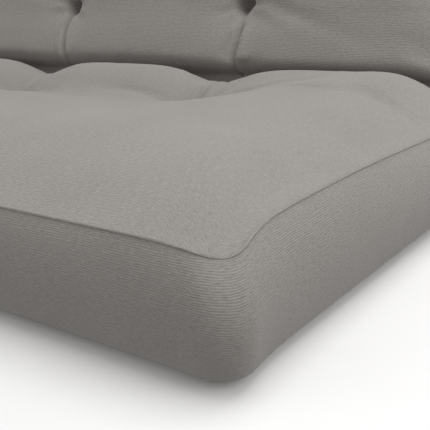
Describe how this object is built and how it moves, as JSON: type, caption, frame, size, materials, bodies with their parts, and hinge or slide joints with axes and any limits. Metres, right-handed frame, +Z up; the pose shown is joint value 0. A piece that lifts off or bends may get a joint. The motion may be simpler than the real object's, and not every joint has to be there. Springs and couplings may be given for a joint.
{
  "type": "folding futon mattress",
  "caption": "Tufted futon mattress with boxed welted borders that folds across its width from a sofa into a flat bed.",
  "frame": {"origin": "bottom centre of the bounding box, on the floor", "axes": "+X across the width towards the mattress's right-hand end seen from the front, -Y the front, +Z up"},
  "size_m": [1.9156, 1.0856, 0.8428],
  "materials": {
    "cover_cloth": "warm grey woven upholstery cloth",
    "welt_cloth": "the cover cloth sewn round a cord",
    "batting": "felted cotton batting",
    "foam": "open-cell foam",
    "tuft_cord": "waxed twine",
    "felt_washer": "pressed felt"
  },
  "bodies": {
    "seat": {"seat_top_panel": "cover_cloth", "seat_bottom_panel": "cover_cloth", "seat_front_border": "cover_cloth", "seat_left_border": "cover_cloth", "seat_right_border": "cover_cloth", "seat_welt": "welt_cloth", "seat_top_batting": "batting", "seat_foam_core": "foam", "seat_bottom_batting": "batting", "seat_tuft_cords": "tuft_cord", "seat_top_washers": "felt_washer", "seat_bottom_washers": "felt_washer", "fold_inner_strip": "cover_cloth", "fold_outer_strip": "cover_cloth", "fold_filling": "batting", "fold_left_gusset": "cover_cloth", "fold_right_gusset": "cover_cloth", "fold_welts": "welt_cloth"},
    "back": {"back_top_panel": "cover_cloth", "back_bottom_panel": "cover_cloth", "back_upper_border": "cover_cloth", "back_left_border": "cover_cloth", "back_right_border": "cover_cloth", "back_welt": "welt_cloth", "back_top_batting": "batting", "back_foam_core": "foam", "back_bottom_batting": "batting", "back_tuft_cords": "tuft_cord", "back_top_washers": "felt_washer", "back_bottom_washers": "felt_washer"}
  },
  "joints": [
    {"name": "fold", "type": "hinge", "parent": "seat", "child": "back", "pos_m": [0, 0.14845, 0.2], "axis": [1, 0, 0], "range_deg": [-72, 98], "deforming": ["fold_inner_strip", "fold_outer_strip", "fold_filling", "fold_left_gusset", "fold_right_gusset", "fold_welts"]}
  ]
}
